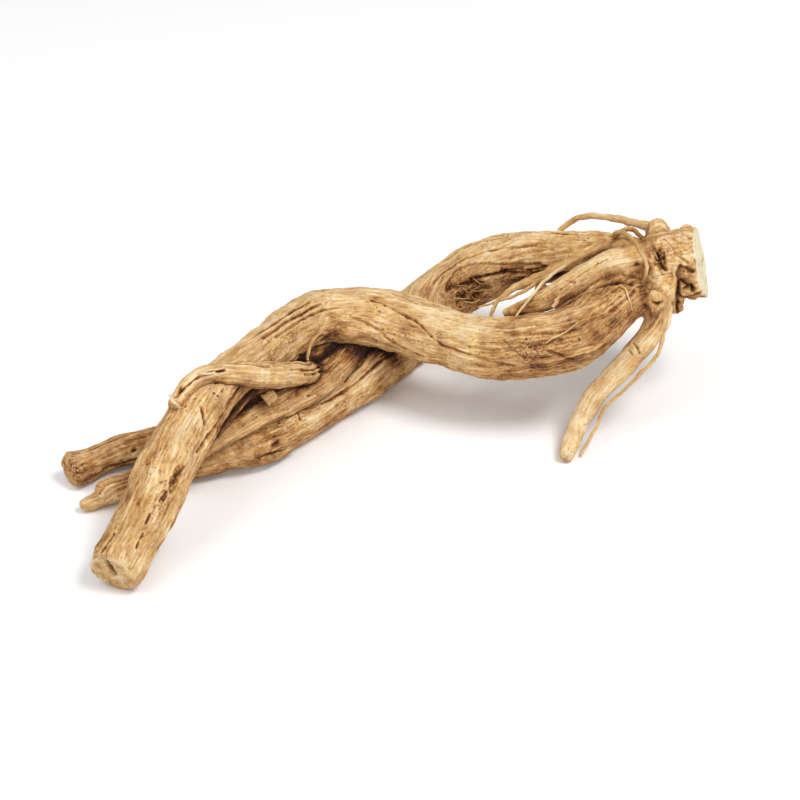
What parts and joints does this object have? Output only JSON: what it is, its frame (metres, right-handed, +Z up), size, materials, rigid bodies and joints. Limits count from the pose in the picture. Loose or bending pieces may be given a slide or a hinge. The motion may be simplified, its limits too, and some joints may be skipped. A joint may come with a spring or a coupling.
{
  "type": "dried tongkat ali root",
  "caption": "Dried woody root with a knotty sawn crown, long legs twisted over each other, a forked tip, side roots and thin rootlets, lying as it rests.",
  "frame": {"origin": "middle of the root's bounding box, on the surface that it rests on", "axes": "+X along the root towards the crown, +Z up, away from the surface"},
  "size_m": [0.2492, 0.1054, 0.0631],
  "materials": {
    "dried_root": "dry matt wrinkled skin, straw to tan, with pale sawn ends"
  },
  "bodies": {
    "root": {"tongkat_ali_root": "dried_root"}
  },
  "joints": []
}
